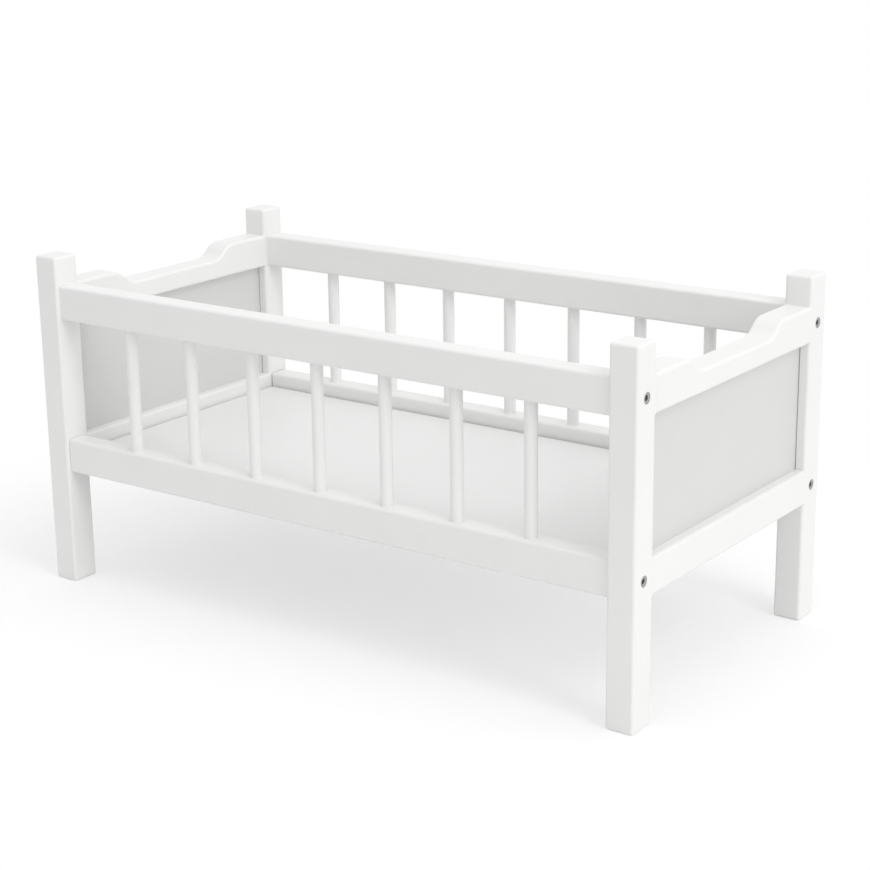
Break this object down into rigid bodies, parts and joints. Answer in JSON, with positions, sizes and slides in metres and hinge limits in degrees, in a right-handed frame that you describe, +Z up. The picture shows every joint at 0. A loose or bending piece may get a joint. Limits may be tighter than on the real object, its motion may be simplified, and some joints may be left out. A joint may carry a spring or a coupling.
{
  "type": "doll cot",
  "caption": "White wooden doll cot: square posts, barred long sides, panelled ends with a dipped top rail, and a flat base board inside.",
  "frame": {"origin": "middle of the footprint, on the floor", "axes": "+X along the cot's length, +Y across it to the back, +Z up; the side with -Y faces the viewer of the picture"},
  "size_m": [0.6, 0.3, 0.295],
  "materials": {
    "frame_lacquer": "white satin lacquer on planed solid wood, edges softly rounded",
    "spindle_lacquer": "white satin lacquer on turned wood",
    "panel_lacquer": "white satin lacquer on thin fibreboard",
    "board_lacquer": "white matt lacquer on thin fibreboard",
    "bare_beech": "bare beech dowel, hidden in the joints",
    "bolt_steel": "zinc-plated steel, turned head with a hexagon socket"
  },
  "bodies": {
    "root": {"post_front_left": "frame_lacquer", "post_front_right": "frame_lacquer", "post_back_left": "frame_lacquer", "post_back_right": "frame_lacquer", "side_rail_front_lower": "frame_lacquer", "side_rail_front_upper": "frame_lacquer", "side_rail_back_lower": "frame_lacquer", "side_rail_back_upper": "frame_lacquer", "end_top_rail_left": "frame_lacquer", "end_bottom_rail_left": "frame_lacquer", "end_top_rail_right": "frame_lacquer", "end_bottom_rail_right": "frame_lacquer", "spindle_front_1": "spindle_lacquer", "spindle_front_2": "spindle_lacquer", "spindle_front_3": "spindle_lacquer", "spindle_front_4": "spindle_lacquer", "spindle_front_5": "spindle_lacquer", "spindle_front_6": "spindle_lacquer", "spindle_front_7": "spindle_lacquer", "spindle_back_1": "spindle_lacquer", "spindle_back_2": "spindle_lacquer", "spindle_back_3": "spindle_lacquer", "spindle_back_4": "spindle_lacquer", "spindle_back_5": "spindle_lacquer", "spindle_back_6": "spindle_lacquer", "spindle_back_7": "spindle_lacquer", "end_panel_left": "panel_lacquer", "end_panel_right": "panel_lacquer", "base_board": "board_lacquer", "ledge_front": "frame_lacquer", "ledge_back": "frame_lacquer", "bolt_front_left_lower": "bolt_steel", "bolt_front_left_upper": "bolt_steel", "bolt_front_right_lower": "bolt_steel", "bolt_front_right_upper": "bolt_steel", "bolt_back_left_lower": "bolt_steel", "bolt_back_left_upper": "bolt_steel", "bolt_back_right_lower": "bolt_steel", "bolt_back_right_upper": "bolt_steel", "dowel_front_left_bottom_rail_low": "bare_beech", "dowel_front_left_bottom_rail_high": "bare_beech", "dowel_front_left_top_rail_low": "bare_beech", "dowel_front_left_top_rail_high": "bare_beech", "dowel_front_right_bottom_rail_low": "bare_beech", "dowel_front_right_bottom_rail_high": "bare_beech", "dowel_front_right_top_rail_low": "bare_beech", "dowel_front_right_top_rail_high": "bare_beech", "dowel_back_left_bottom_rail_low": "bare_beech", "dowel_back_left_bottom_rail_high": "bare_beech", "dowel_back_left_top_rail_low": "bare_beech", "dowel_back_left_top_rail_high": "bare_beech", "dowel_back_right_bottom_rail_low": "bare_beech", "dowel_back_right_bottom_rail_high": "bare_beech", "dowel_back_right_top_rail_low": "bare_beech", "dowel_back_right_top_rail_high": "bare_beech"}
  },
  "joints": []
}
